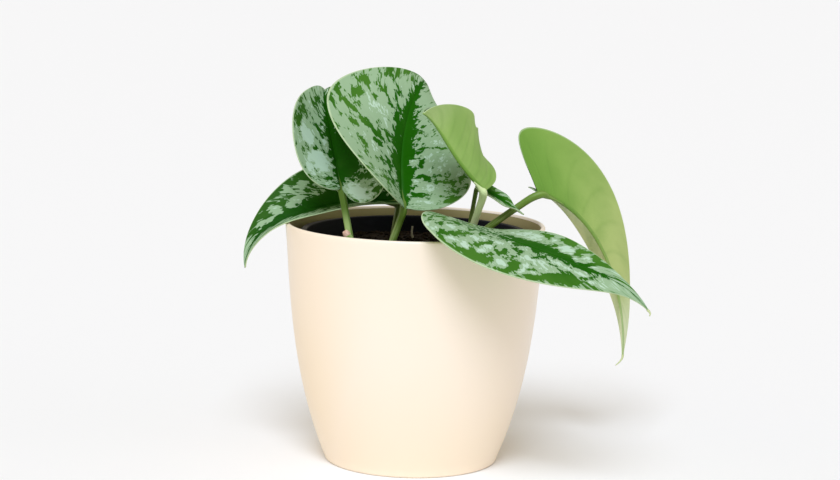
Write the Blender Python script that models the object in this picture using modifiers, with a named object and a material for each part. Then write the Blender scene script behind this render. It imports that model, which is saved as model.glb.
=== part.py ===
"""A young exotica satin pothos in its black nursery pot, which stands in a cream cover pot.

Metres, +Z up. The origin is the centre of the cover pot's foot, and the front is towards -Y.
Sizes below are in millimetres and angles in degrees, and MM turns them into metres.
"""

import math
from dataclasses import dataclass

import bmesh
import bpy
import numpy as np
from mathutils import Matrix, Vector

MM = 0.001
GAP = 0.3  # between pieces that touch

# Cover pot: its side is one cubic curve of (height, radius) from the foot to the lip
POT_HEIGHT = 130.4
POT_LIP_RADIUS = 70.6
POT_FOOT_RADIUS = 46.7
POT_SIDE = ((0.0, POT_FOOT_RADIUS), (50.0, 68.0), (100.0, 67.4), (POT_HEIGHT, POT_LIP_RADIUS))
POT_WALL = 2.4
POT_FLOOR = 4.0
POT_FOOT_EDGE = 1.6
POT_COVE = 5.0  # inside, where the wall meets the floor
POT_ROWS = 13
POT_STEPS = 64

# Nursery pot: a thin tapered pot with a rolled rim and drain holes
NURSERY_FLOOR = POT_FLOOR + GAP
NURSERY_RIM_HEIGHT = 126.0
NURSERY_BASE_RADIUS = 42.0
NURSERY_TOP_RADIUS = 60.0
NURSERY_WALL = 1.2
NURSERY_RIM_LIP = 2.2
NURSERY_RIM_DEPTH = 5.0
NURSERY_FOOT_EDGE = 3.0  # the slope between its floor and its wall
NURSERY_STEPS = 48
DRAIN_HOLES = 6
DRAIN_HOLE_RADIUS = 4.0
DRAIN_RING_RADIUS = 27.0

# Soil: a turned body whose top is a little mounded
SOIL_HEIGHT = 117.0
SOIL_MOUND = 1.5

# Leaves and stalks
BLADE_THICKNESS = 0.8
BLADE_ROWS = 14
BLADE_COLUMNS = 4
LOBES_END = 0.42  # share of the margin that goes round a lobe
FOOT_HEIGHT = 107.0
STALK_POINTS = 11
HOLE_REACH = 6.0  # how far above the nursery pot's rim the cutters of the stem holes end


@dataclass(frozen=True)
class Leaf:
    """One leaf. Pairs are (left half, right half), seen along the blade from its base, upper side up."""

    name: str
    base: tuple  # where the stalk meets the blade
    aim: tuple  # heading, pitch and roll of the blade at its base
    length: float
    width: tuple
    lobe: tuple  # how far each lobe reaches back past the base
    notch: tuple = (0.0, 0.0)  # how wide each lobe leaves the notch open, 0 to 1
    widest: float = 0.3  # where the blade is widest, as a share of its length
    taper: float = 0.2  # how full the blade stays towards its tip
    bend: tuple = (0, 0)  # droop along the whole length, and more of it near the tip
    sway: float = 0  # bend to the left
    twist: float = 0  # turn about the midrib, left side up
    fold: tuple = (0, 0)  # how far each half is folded up from the midrib
    fold_change: tuple = (0, 0)  # and how that changes towards the tip
    curl: tuple = (0, 0)  # how far each half curls up towards its margin
    curl_change: tuple = (0, 0)
    dent: tuple = (0.5, 0.1, 0.0)  # in the left margin: place, reach and depth, as shares
    start: float = 0.05  # share of the margin, next to the notch, that the blade leaves out
    foot: tuple = (0, 0)  # where the stalk enters the soil
    bow: tuple = (0, 0, 0)  # how far the stalk's middle stands off a straight line
    stalk_radius: float = 1.9
    seat: float = 0.0  # how much nearer to the blade the stalk's end comes


LEAVES = (
    Leaf(
        "centre", base=(-6, -32, 142.5), aim=(112, 60, -12), length=100, width=(48.5, 44), lobe=(1, 5),
        notch=(0, 0.4), widest=0.42, bend=(14, 73), sway=-43, twist=-12, fold=(66, -8),
        fold_change=(-40, -31), curl=(-13, -8), curl_change=(-70, -19), foot=(-17.5, -24), seat=0.6,
    ),
    Leaf(
        "curled", base=(36, -30.5, 152.3), aim=(222, 36, 32), length=60.5, width=(39.5, 38), lobe=(18.5, 9),
        notch=(0.53, 0), widest=0.24, taper=0.56, bend=(-40, 65), sway=4, twist=-39, fold=(74, 52),
        fold_change=(17, -12), curl=(61, 48), curl_change=(-55, 9), dent=(0.55, 0.1, 0.24), start=0.08,
        foot=(24, -9), bow=(0, 5, 0),
    ),
    Leaf(
        "left", base=(-40, -20, 151), aim=(114, 58, -30), length=76, width=(28.5, 32), lobe=(3, 17),
        notch=(0, 0.1), widest=0.35, bend=(15, 75), twist=5, fold=(45, 15),
        fold_change=(5, 5), curl=(5, -10), curl_change=(10, 5), foot=(-31, -27), bow=(0, -4, 0),
    ),
    Leaf(
        "drooping", base=(-9, 14.5, 140), aim=(191, 5, 4), length=102, width=(23.5, 29), lobe=(14, 14),
        widest=0.25, taper=0.25, bend=(40, 55), sway=10, fold=(-7, 50),
        curl=(10, 5), curl_change=(8, 0), foot=(-14, 6),
    ),
    Leaf(
        "small", base=(33, -3, 151.5), aim=(341, -27, 2), length=30, width=(7, 9), lobe=(3, 1),
        taper=0.15, fold=(30, 10), fold_change=(-5, -5), curl=(-5, -5), curl_change=(-5, -5),
        start=0.14, foot=(26, 4), stalk_radius=1.2,
    ),
    Leaf(
        "right", base=(65.7, -1, 148.7), aim=(35, -15, -63), length=122.5, width=(17, 42), lobe=(1, 16.5),
        notch=(0.3, 0.8), widest=0.12, taper=0.26, bend=(46, -15.5), sway=81.5, twist=16.5, fold=(78, 53),
        fold_change=(-24, -5), curl=(-10, 8), curl_change=(0, -5), start=0.09, foot=(14, -2),
        bow=(-2, 0, 2),
    ),
    Leaf(
        "front", base=(26, -53, 138), aim=(329, -13, -1), length=109, width=(25, 39), lobe=(18.5, 18.5),
        widest=0.15, bend=(4.5, 38), sway=20, twist=28, fold=(-8, 15),
        fold_change=(3, -25), curl=(-13, -34), curl_change=(111, 25), foot=(10, -36),
    ),
)

# The short stem end left by a leaf that was cut off, beside the left leaf's stalk
CUT_STEM_TOP = (-37.5, -30.5, 129.5)
CUT_STEM_FOOT = (-26.0, -33.0)
CUT_STEM_RADIUS = 2.2

# Colours (linear), roughness
LOOKS = {
    "cream_glaze": ((0.86, 0.75, 0.60), 0.45),
    "black_plastic": ((0.010, 0.011, 0.016), 0.45),
    "potting_soil": ((0.025, 0.017, 0.011), 0.95),
    "silver_leaf": ((0.20, 0.34, 0.13), 0.55),
    "green_stalk": ((0.34, 0.45, 0.16), 0.50),
}


def clear_scene():
    for obj in list(bpy.data.objects):
        bpy.data.objects.remove(obj, do_unlink=True)


def collection(name, hidden=False):
    made = bpy.data.collections.new(name)
    made.hide_render = hidden
    bpy.context.scene.collection.children.link(made)
    return made


def material(name):
    colour, roughness = LOOKS[name]
    made = bpy.data.materials.new(name)
    made.use_nodes = True
    shader = made.node_tree.nodes["Principled BSDF"]
    shader.inputs["Base Color"].default_value = (*colour, 1.0)
    shader.inputs["Roughness"].default_value = roughness
    shader.inputs["Metallic"].default_value = 0.0
    return made


def add_object(name, data, where, look=None):
    obj = bpy.data.objects.new(name, data)
    where.objects.link(obj)
    if look:
        data.materials.append(look)
    return obj


def apply_modifiers(obj):
    """Turns the object's evaluated shape into its mesh."""
    bpy.context.view_layer.update()
    graph = bpy.context.evaluated_depsgraph_get()
    mesh = bpy.data.meshes.new_from_object(obj.evaluated_get(graph))
    obj.modifiers.clear()
    obj.data = mesh


def turned(name, profile, steps, where, look, ring=True):
    """A profile of (radius, height), down its outer side first, turned about Z. A ring's is closed."""
    mesh = bpy.data.meshes.new(name)
    points = [(radius * MM, 0.0, height * MM) for radius, height in profile]
    edges = [(i, i + 1) for i in range(len(points) - 1)]
    if ring:
        edges.append((len(points) - 1, 0))
    mesh.from_pydata(points, edges, [])
    obj = add_object(name, mesh, where, look)
    screw = obj.modifiers.new("turn", "SCREW")
    screw.steps = steps
    screw.render_steps = steps
    screw.use_merge_vertices = True
    screw.merge_threshold = 0.00005
    screw.use_smooth_shade = True
    return obj


def cubic(controls, t):
    """The point at t, 0 to 1, on the cubic curve with these four control points."""
    a, b, c, d = (np.array(point, float) for point in controls)
    t = np.asarray(t, float)[..., None]
    return (1 - t) ** 3 * a + 3 * (1 - t) ** 2 * t * b + 3 * (1 - t) * t**2 * c + t**3 * d


def arc(centre, radius, start, end, steps):
    """(radius, height) points on an arc, its angles counted from +radius towards +height."""
    angles = [math.radians(start + (end - start) * i / steps) for i in range(steps + 1)]
    return [(centre[0] + radius * math.cos(a), centre[1] + radius * math.sin(a)) for a in angles]


def pot_side(height):
    """The cover pot's outer radius at a height."""
    curve = cubic(POT_SIDE, np.linspace(0.0, 1.0, 200))
    return float(np.interp(height, curve[:, 0], curve[:, 1]))


def cover_pot(where):
    lip = POT_WALL / 2
    top = POT_HEIGHT - lip
    low_outside = 4 * POT_FOOT_EDGE
    low_inside = POT_FLOOR + POT_COVE
    heights = np.linspace(top, low_outside, POT_ROWS + 1)[1:]
    outer = [(pot_side(height), height) for height in heights]
    edge = arc((pot_side(POT_FOOT_EDGE) - POT_FOOT_EDGE, POT_FOOT_EDGE), POT_FOOT_EDGE, 0, -90, 3)
    inner_heights = np.linspace(low_inside, top, POT_ROWS - 3)[:-1]
    inner = [(pot_side(height) - POT_WALL, height) for height in inner_heights]
    cove = arc((inner[0][0] - POT_COVE, low_inside), POT_COVE, -90, 0, 3)[:-1]
    rim = arc((pot_side(top) - lip, top), lip, 180, 0, 6)
    profile = rim + outer + edge + [(0.0, 0.0), (0.0, POT_FLOOR)] + cove + inner
    return turned("pot", profile, POT_STEPS, where, material("cream_glaze"))


def nursery_radius(height):
    """The nursery pot's outer radius at a height."""
    share = (height - NURSERY_FLOOR) / (NURSERY_RIM_HEIGHT - NURSERY_FLOOR)
    return NURSERY_BASE_RADIUS + (NURSERY_TOP_RADIUS - NURSERY_BASE_RADIUS) * share


def nursery_pot(where, cutters):
    lip = NURSERY_WALL / 2
    rim_radius = NURSERY_TOP_RADIUS + NURSERY_RIM_LIP
    top = NURSERY_RIM_HEIGHT - lip
    under_rim = NURSERY_RIM_HEIGHT - NURSERY_RIM_DEPTH
    under_roll = NURSERY_RIM_HEIGHT - 2 * NURSERY_WALL
    inside_top = NURSERY_TOP_RADIUS - NURSERY_WALL
    inside_floor = NURSERY_FLOOR + NURSERY_WALL
    foot_edge = NURSERY_FOOT_EDGE
    profile = [(inside_top, top - lip), (inside_top + lip, NURSERY_RIM_HEIGHT)]
    profile += arc((rim_radius - lip, top), lip, 90, 0, 2)
    profile += [(rim_radius, under_rim), (rim_radius - NURSERY_WALL, under_rim)]
    profile += [(rim_radius - NURSERY_WALL, under_roll)]
    profile += [(nursery_radius(under_roll - lip), under_roll - lip)]
    profile += [(nursery_radius(NURSERY_FLOOR + foot_edge), NURSERY_FLOOR + foot_edge)]
    profile += [(NURSERY_BASE_RADIUS - foot_edge, NURSERY_FLOOR), (0.0, NURSERY_FLOOR)]
    profile += [(0.0, inside_floor), (NURSERY_BASE_RADIUS - foot_edge - lip, inside_floor)]
    profile += [(nursery_radius(inside_floor + foot_edge) - NURSERY_WALL, inside_floor + foot_edge)]
    pot = turned("nursery_pot", profile, NURSERY_STEPS, where, material("black_plastic"))
    for i in range(DRAIN_HOLES):
        turn = Matrix.Rotation(math.tau * i / DRAIN_HOLES, 4, "Z")
        centre = Vector((DRAIN_RING_RADIUS * MM, 0.0, (NURSERY_FLOOR + lip) * MM))
        mesh = bpy.data.meshes.new(f"drain_cutter_{i}")
        shape = bmesh.new()
        bmesh.ops.create_cone(
            shape, cap_ends=True, segments=16, radius1=DRAIN_HOLE_RADIUS * MM,
            radius2=DRAIN_HOLE_RADIUS * MM, depth=3 * NURSERY_WALL * MM,
            matrix=turn @ Matrix.Translation(centre),
        )
        shape.to_mesh(mesh)
        shape.free()
        cutter(add_object(mesh.name, mesh, cutters))
    cut_all(pot, cutters)
    return pot


def cutter(obj):
    obj.hide_render = True
    obj.display_type = "WIRE"


def cut_all(obj, cutters):
    """Cuts every object of the collection from obj, applies the cut and removes them."""
    cut = obj.modifiers.new("cut", "BOOLEAN")
    cut.operation = "DIFFERENCE"
    cut.operand_type = "COLLECTION"
    cut.collection = cutters
    apply_modifiers(obj)
    for tool in list(cutters.objects):
        bpy.data.objects.remove(tool, do_unlink=True)
    bpy.data.collections.remove(cutters)


def turned_frame(aim):
    """The blade's direction, left side and upper normal at its base."""
    heading, pitch, roll = (math.radians(angle) for angle in aim)
    level_along = Vector((math.cos(heading), math.sin(heading), 0.0))
    along = math.cos(pitch) * level_along + math.sin(pitch) * Vector((0.0, 0.0, 1.0))
    level = Vector((-math.sin(heading), math.cos(heading), 0.0))
    side = math.cos(roll) * level + math.sin(roll) * along.cross(level)
    return np.array(along), np.array(side), np.array(along.cross(side))


def flat_point(leaf, half, u, v):
    """(along, across) in the flat blade: u runs from the notch to the tip, v from midrib to margin."""
    length, width = leaf.length, leaf.width[half]
    lobe, notch = leaf.lobe[half], leaf.notch[half]
    widest = (leaf.widest * length, width)
    notch_side = (-1.25 * lobe * (1 - 0.7 * notch), (0.1 + 0.5 * notch) * width)
    back = ((0, 0), notch_side, (-1.15 * lobe, width), widest)
    front = (widest, (widest[0] + 0.34 * length, width), (0.7 * length, leaf.taper * width), (length, 0))
    round_lobe = cubic(back, np.clip(u / LOBES_END, 0, 1))
    to_tip = cubic(front, np.clip((u - LOBES_END) / (1 - LOBES_END), 0, 1))
    margin = np.where((u < LOBES_END)[..., None], round_lobe, to_tip)
    along_rib = np.clip((u - 0.1) / 0.9, 0, 1) ** 1.35 * length
    rib = np.stack([along_rib, np.zeros_like(along_rib)], axis=-1)
    if half == 0:
        place, reach, depth = leaf.dent
        margin = rib + (margin - rib) * (1 - depth * np.exp(-(((u - place) / reach) ** 2)))[..., None]
    point = rib + (margin - rib) * v[..., None]
    reach = np.linalg.norm(margin - rib, axis=-1)
    past_lobes = np.clip((u - 0.1) / 0.3, 0, 1)
    point[..., 0] -= 0.1 * reach * 4 * v * (1 - v) * (1 - u) * past_lobes
    return point


def midrib(leaf):
    """Distances along the midrib, and its points, side directions and normals there."""
    along, side, normal = turned_frame(leaf.aim)
    distance = np.linspace(-0.45 * leaf.length, leaf.length, 121)
    share = distance / leaf.length
    forward = np.clip(share, 0, None)
    near_tip = np.clip((share - 0.55) / 0.45, 0, None)
    droop = np.radians(-leaf.bend[0] * share - leaf.bend[1] * near_tip**2)[:, None]
    sway = np.radians(leaf.sway * forward)[:, None]
    twist = np.radians(leaf.twist * forward)[:, None]
    direction = np.cos(droop) * (np.cos(sway) * along + np.sin(sway) * side) + np.sin(droop) * normal
    level = np.cos(sway) * side - np.sin(sway) * along
    across = np.cos(twist) * level + np.sin(twist) * np.cross(direction, level)
    upper = np.cross(direction, across)
    steps = 0.5 * (direction[1:] + direction[:-1]) * (distance[1] - distance[0])
    points = np.concatenate([np.zeros((1, 3)), np.cumsum(steps, axis=0)])
    points += np.array(leaf.base, float) - at_distance(0.0, distance, points)
    return distance, points, across, upper


def at_distance(distance, distances, values):
    return np.stack([np.interp(distance, distances, values[:, axis]) for axis in range(3)], axis=-1)


def blade_point(leaf, half, u, v):
    """Points of the blade's middle surface, in millimetres. half is 0 on the left and 1 on the right."""
    flat = flat_point(leaf, half, u, v)
    distance, points, across, upper = midrib(leaf)
    share = np.clip(flat[..., 0] / leaf.length, -0.3, 1)
    fold = np.radians(leaf.fold[half] + leaf.fold_change[half] * share)
    curl = np.radians(leaf.curl[half] + leaf.curl_change[half] * share) / leaf.width[half]
    curl = np.where(np.abs(curl) < 1e-7, 1e-7, curl)
    end = fold + curl * flat[..., 1]
    out = (np.sin(end) - np.sin(fold)) / curl
    up = (np.cos(fold) - np.cos(end)) / curl
    out = out if half == 0 else -out
    centre = at_distance(flat[..., 0], distance, points)
    side = at_distance(flat[..., 0], distance, across)
    normal = at_distance(flat[..., 0], distance, upper)
    return centre + out[..., None] * side + up[..., None] * normal


def blade(leaf, where, look):
    """The blade as an open sheet of triangles, thickened."""
    rows = np.linspace(leaf.start, 1.0, BLADE_ROWS + 1)
    columns = np.linspace(0.0, 1.0, BLADE_COLUMNS + 1)
    u, v = np.meshgrid(rows, columns, indexing="ij")
    sheet = bmesh.new()
    for half in (0, 1):
        points = blade_point(leaf, half, u, v) * MM
        grid = [[sheet.verts.new(point) for point in row] for row in points]
        for i in range(BLADE_ROWS):
            for j in range(BLADE_COLUMNS):
                corners = [grid[i][j], grid[i][j + 1], grid[i + 1][j + 1], grid[i + 1][j]]
                sheet.faces.new(corners if half else corners[::-1])
    bmesh.ops.remove_doubles(sheet, verts=sheet.verts, dist=0.05 * MM)
    bmesh.ops.triangulate(sheet, faces=sheet.faces)
    mesh = bpy.data.meshes.new(f"leaf_{leaf.name}")
    sheet.to_mesh(mesh)
    sheet.free()
    obj = add_object(f"leaf_{leaf.name}", mesh, where, look)
    solid = obj.modifiers.new("thickness", "SOLIDIFY")
    solid.thickness = BLADE_THICKNESS * MM
    solid.offset = 0.0
    mesh.shade_smooth()
    return obj


def stalk_path(leaf):
    """The stalk's points from its foot to just under the blade's base, in millimetres."""
    foot = np.array([*leaf.foot, FOOT_HEIGHT], float)
    base = np.array(leaf.base, float)
    straight = (base - foot) / np.linalg.norm(base - foot)
    normal = turned_frame(leaf.aim)[2]
    slant = math.sqrt(max(0.0, 1.0 - float(straight @ normal) ** 2))
    below = BLADE_THICKNESS / 2 + GAP + leaf.stalk_radius * slant - leaf.seat
    top = base - normal * below
    middle = (foot + top) / 2 + np.array(leaf.bow, float)
    t = np.linspace(0.0, 1.0, STALK_POINTS)[:, None]
    return (1 - t) ** 2 * foot + 2 * (1 - t) * t * middle + t**2 * top


def tube(name, points, radius, where, look=None):
    """A round tube along the points, closed at both ends, as a mesh."""
    curve = bpy.data.curves.new(name, "CURVE")
    curve.dimensions = "3D"
    curve.bevel_depth = radius * MM
    curve.bevel_resolution = 2
    curve.use_fill_caps = True
    spline = curve.splines.new("POLY")
    spline.points.add(len(points) - 1)
    for target, point in zip(spline.points, points):
        target.co = (*(float(value) * MM for value in point), 1.0)
    guide = add_object(f"{name}_line", curve, where)
    bpy.context.view_layer.update()
    graph = bpy.context.evaluated_depsgraph_get()
    mesh = bpy.data.meshes.new_from_object(guide.evaluated_get(graph))
    bpy.data.objects.remove(guide, do_unlink=True)
    shape = bmesh.new()
    shape.from_mesh(mesh)
    bmesh.ops.remove_doubles(shape, verts=shape.verts, dist=0.01 * MM)
    bmesh.ops.recalc_face_normals(shape, faces=shape.faces)
    shape.to_mesh(mesh)
    shape.free()
    mesh.shade_smooth()
    return add_object(name, mesh, where, look)


def cut_stem_path():
    foot = np.array([*CUT_STEM_FOOT, FOOT_HEIGHT], float)
    t = np.linspace(0.0, 1.0, 5)[:, None]
    return foot + (np.array(CUT_STEM_TOP) - foot) * t


def stem_hole(name, points, radius, cutters):
    """A cutter that leaves room for a stem from just below its foot to above the soil."""
    start = points[0] - (points[1] - points[0]) / np.linalg.norm(points[1] - points[0]) * GAP
    above = [point for point in points[1:] if point[2] < NURSERY_RIM_HEIGHT + HOLE_REACH]
    cutter(tube(name, [start, *above], radius + GAP, cutters))


def soil(where, stems):
    """The soil fills the nursery pot, with a plain hole for each stem. stems lists (points, radius)."""
    floor = NURSERY_FLOOR + NURSERY_WALL + GAP
    edge_radius = nursery_radius(SOIL_HEIGHT) - NURSERY_WALL - GAP
    shares = np.linspace(0.0, 1.0, 6)
    profile = [(edge_radius * share, SOIL_HEIGHT + SOIL_MOUND * (1 - share**2)) for share in shares]
    low = floor + NURSERY_FOOT_EDGE + NURSERY_WALL
    profile += [(nursery_radius(low) - NURSERY_WALL - GAP, low)]
    profile += [(NURSERY_BASE_RADIUS - 2 * NURSERY_FOOT_EDGE, floor), (0.0, floor)]
    body = turned("soil", profile, NURSERY_STEPS, where, material("potting_soil"), ring=False)
    cutters = collection("stem_holes", hidden=True)
    for i, (points, radius) in enumerate(stems):
        stem_hole(f"stem_hole_{i}", points, radius, cutters)
    cut_all(body, cutters)
    return body


def main():
    clear_scene()
    parts = collection("potted_satin_pothos")
    cover_pot(parts)
    nursery_pot(parts, collection("drain_cutters", hidden=True))
    blade_look = material("silver_leaf")
    stalk_look = material("green_stalk")
    stems = []
    for leaf in LEAVES:
        points = stalk_path(leaf)
        blade(leaf, parts, blade_look)
        tube(f"stalk_{leaf.name}", points, leaf.stalk_radius, parts, stalk_look)
        stems.append((points, leaf.stalk_radius))
    tube("cut_stem", cut_stem_path(), CUT_STEM_RADIUS, parts, stalk_look)
    stems.append((cut_stem_path(), CUT_STEM_RADIUS))
    soil(parts, stems)


main()
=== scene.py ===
"""The looks of a young exotica satin pothos, potted in a cream cover pot.

Sizes and places are in millimetres and angles in degrees, and MM turns them into metres.
"""

import math
from dataclasses import dataclass

import bmesh
import bpy
import numpy as np
from mathutils import Matrix, Vector, noise


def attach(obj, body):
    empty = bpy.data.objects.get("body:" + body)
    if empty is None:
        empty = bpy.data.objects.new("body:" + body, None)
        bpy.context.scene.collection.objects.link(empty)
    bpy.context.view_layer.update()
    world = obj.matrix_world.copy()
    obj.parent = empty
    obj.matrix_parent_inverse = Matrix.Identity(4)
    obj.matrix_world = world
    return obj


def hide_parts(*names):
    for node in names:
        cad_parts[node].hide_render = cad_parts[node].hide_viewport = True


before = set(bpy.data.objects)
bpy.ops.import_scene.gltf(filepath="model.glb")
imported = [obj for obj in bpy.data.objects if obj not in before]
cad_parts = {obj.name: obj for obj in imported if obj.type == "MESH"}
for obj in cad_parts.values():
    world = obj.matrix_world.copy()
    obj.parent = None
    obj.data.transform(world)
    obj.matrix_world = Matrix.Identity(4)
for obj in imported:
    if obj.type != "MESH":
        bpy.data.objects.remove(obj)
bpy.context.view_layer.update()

MM = 0.001
SEED = 7
noise.seed_set(SEED)  # noise_vector differs from run to run without it

# Cover pot, as in the frame: its side is one cubic curve of (height, radius)
POT_HEIGHT = 130.4
POT_SIDE = ((0.0, 46.7), (50.0, 68.0), (100.0, 67.4), (POT_HEIGHT, 70.6))
POT_WALL = 2.4
POT_FLOOR = 4.0
POT_FOOT_EDGE = 1.6
POT_COVE = 5.0
POT_STEPS = 192

# Nursery pot
NURSERY_FLOOR = 4.3
NURSERY_RIM_HEIGHT = 126.0
NURSERY_BASE_RADIUS = 42.0
NURSERY_TOP_RADIUS = 60.0
NURSERY_WALL = 1.2
NURSERY_RIM_LIP = 2.2
NURSERY_RIM_DEPTH = 5.0
NURSERY_FOOT_EDGE = 3.0
NURSERY_STEPS = 160
DRAIN_HOLES = 6
DRAIN_HOLE_RADIUS = 4.0
DRAIN_RING_RADIUS = 27.0

# Soil
SOIL_HEIGHT = 117.0
SOIL_MOUND = 1.5
SOIL_RADIUS = 57.4
SOIL_ROUGHNESS = 1.3
SOIL_LUMPS = ((14, 0.3, 0.5), (4.5, 5.1, 0.6), (1.7, 9.7, 0.35))  # size, place in the noise and share
SOIL_STEPS = 200
SOIL_CLEARANCE = 0.3
CRUMBS = 1100
CRUMB_SIZES = (0.35, 1.0)
CRUMB_LARGEST = 1.6
CRUMB_STRETCH = ((0.7, 0.6, 0.4), (1.9, 1.1, 0.8))
CRUMB_KNOBS = 0.25
CRUMB_TILT = 0.5

# Blades
LOBES_END = 0.42  # share of the margin that goes round a lobe
BLADE_ROWS = 160
HALF_THICKNESS = 0.3
VEINS = 11  # lateral veins on each half
VEIN_LEAN = 0.12  # how far they run on towards the tip on their way to the margin
MARGIN_LENGTH = 1.1  # of a half's margin, from notch to tip, as a share of the blade's length
BLADE_COLUMNS = np.concatenate([
    [0.0, 0.007, 0.015, 0.025, 0.04, 0.06, 0.085],
    np.linspace(0.115, 0.955, 25),
    [0.975, 0.985, 0.992, 0.997, 1.0],
])

# Relief of the blades
RIPPLE = 0.5
VEIN_DEPTH = 0.12
VEIN_REACH = 0.9
GROOVE_DEPTH = 0.45
GROOVE_REACH = 0.7
RIDGE_HEIGHT = 0.9
RIDGE_REACH = 1.1
MARGIN_ROUND = 0.015  # share of a half's width over which its margin rounds off

# Stalks: places along them, and swellings and grooves as shares of their radius
FOOT_HEIGHT = 107.0  # where they start, inside the soil
STALK_SIDES = 24
KNEE_PLACE = 0.72
KNEE_REACH = 0.09
KNEE_SWELL = 0.12
FOOT_SWELL = 0.18
CHANNEL_DEPTH = 0.16
CHANNEL_EDGE = 0.10


@dataclass(frozen=True)
class Leaf:
    """One leaf. Pairs are (left half, right half), seen along the blade from its base, upper side up."""

    name: str
    base: tuple  # where the stalk meets the blade
    aim: tuple  # heading, pitch and roll of the blade at its base
    length: float
    width: tuple
    lobe: tuple  # how far each lobe reaches back past the base
    notch: tuple = (0.0, 0.0)  # how wide each lobe leaves the notch open, 0 to 1
    widest: float = 0.3  # where the blade is widest, as a share of its length
    taper: float = 0.2  # how full the blade stays towards its tip
    bend: tuple = (0, 0)  # droop along the whole length, and more of it near the tip
    sway: float = 0  # bend to the left
    twist: float = 0  # turn about the midrib, left side up
    fold: tuple = (0, 0)  # how far each half is folded up from the midrib
    fold_change: tuple = (0, 0)  # and how that changes towards the tip
    curl: tuple = (0, 0)  # how far each half curls up towards its margin
    curl_change: tuple = (0, 0)
    dent: tuple = (0.5, 0.1, 0.0)  # in the left margin: place, reach and depth, as shares
    start: float = 0.05  # share of the margin, next to the notch, that the blade leaves out
    foot: tuple = (0, 0)  # where the stalk enters the soil
    bow: tuple = (0, 0, 0)  # how far the stalk's middle stands off a straight line
    stalk_radius: float = 1.9
    silver: float = 0.1  # more or less of the upper side is silver
    ripeness: float = 0.2  # how yellow the underside is towards the tip
    mottle: float = 1.0  # how broken up the patches are
    depth: float = 0.0  # painted shade: how much deeper the greens are painted on a leaf that sits in shade, 0 to 1
    sheen: float = 0.0  # painted sheen: how much paler the silver is painted, standing in for the satin's highlight
    stalk_painted_shade_or_light: float = 0.4  # painted shade near the blade, where the leaf shades the stalk, or below 0 how much of the pale sheath is painted, partly painted light
    band: tuple = (0.12, 0.3)  # half width of the green band along the midrib, near the tip and at its widest
    marks: tuple = ((), ())  # patches on its left half and on its right half
    thread: tuple = ()  # the line of the thread at the tip, from the tip


# Silver and green patches, on the left half and then on the right half. Each is
# (u, v, reach in u, reach in v, more or less silver), as multiples of one part in MARK_UNITS
# Patches that lift the silver field high also paint the silver paler in upper_side: painted sheen
MARK_UNITS = (1000, 100, 1000, 100, 100)
CENTRE_PATCHES = (
    (
        (580, 50, 70, 20, 40), (400, 55, 30, 14, 40), (515, 92, 30, 6, -90), (575, 77, 20, 8, -90),
        (485, 78, 12, 15, -90), (640, 83, 20, 8, -70), (430, 72, 14, 5, -90), (390, 64, 10, 8, -80),
        (440, 92, 30, 6, -50), (610, 57, 12, 5, -90), (670, 57, 12, 7, -70), (645, 32, 12, 5, -80),
        (620, 22, 20, 7, -90), (475, 56, 18, 6, -120), (465, 40, 14, 14, -110), (505, 30, 8, 12, -80),
        (430, 38, 12, 8, -90), (370, 35, 12, 13, -90), (290, 40, 30, 20, -60), (425, 27, 15, 7, 130),
        (325, 20, 20, 7, 110), (800, 85, 90, 18, -35),
    ),
    (
        (515, 50, 8, 32, -90), (425, 27, 18, 5, -100), (370, 28, 15, 10, -110), (350, 58, 8, 20, -90),
        (255, 30, 18, 15, -100), (240, 86, 30, 10, -100), (310, 87, 20, 7, -90), (420, 86, 12, 10, -70),
        (370, 88, 30, 7, -60), (460, 50, 30, 20, 50), (400, 45, 15, 16, 60), (550, 45, 20, 20, 40),
        (310, 42, 20, 15, 70), (210, 50, 20, 16, 60), (335, 18, 15, 6, 140), (435, 13, 12, 5, 140),
    ),
)
LEFT_PATCHES = (
    (
        (470, 62, 50, 18, 160), (360, 42, 60, 30, 160), (310, 75, 30, 12, 120), (505, 84, 30, 7, -100),
        (440, 80, 15, 6, -90), (800, 42, 50, 16, -90), (610, 82, 40, 9, -60), (565, 33, 15, 5, -100),
        (490, 43, 10, 5, -130), (430, 46, 12, 7, -120), (410, 66, 15, 7, -90), (360, 60, 10, 7, -120),
        (320, 56, 10, 9, -100), (270, 72, 20, 10, -60), (250, 42, 20, 15, -70), (470, 20, 40, 8, 110),
    ),
    (
        (400, 15, 130, 30, -140), (190, 55, 60, 35, 160), (220, 72, 15, 6, -130), (250, 86, 20, 6, -130),
        (300, 55, 6, 20, -90),
    ),
)
DROOPING_PATCHES = (
    (
        (650, 60, 350, 50, 50),
    ),
    (
        (605, 70, 25, 11, 90), (660, 78, 16, 10, 80), (650, 40, 28, 11, 100), (585, 36, 16, 8, 90),
        (540, 50, 10, 14, 70), (690, 36, 20, 12, 80), (750, 45, 24, 25, 100), (795, 30, 20, 12, 90),
        (825, 50, 16, 25, 80), (785, 76, 16, 10, -80), (865, 55, 14, 16, -70), (960, 50, 70, 80, 70),
    ),
)
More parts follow.
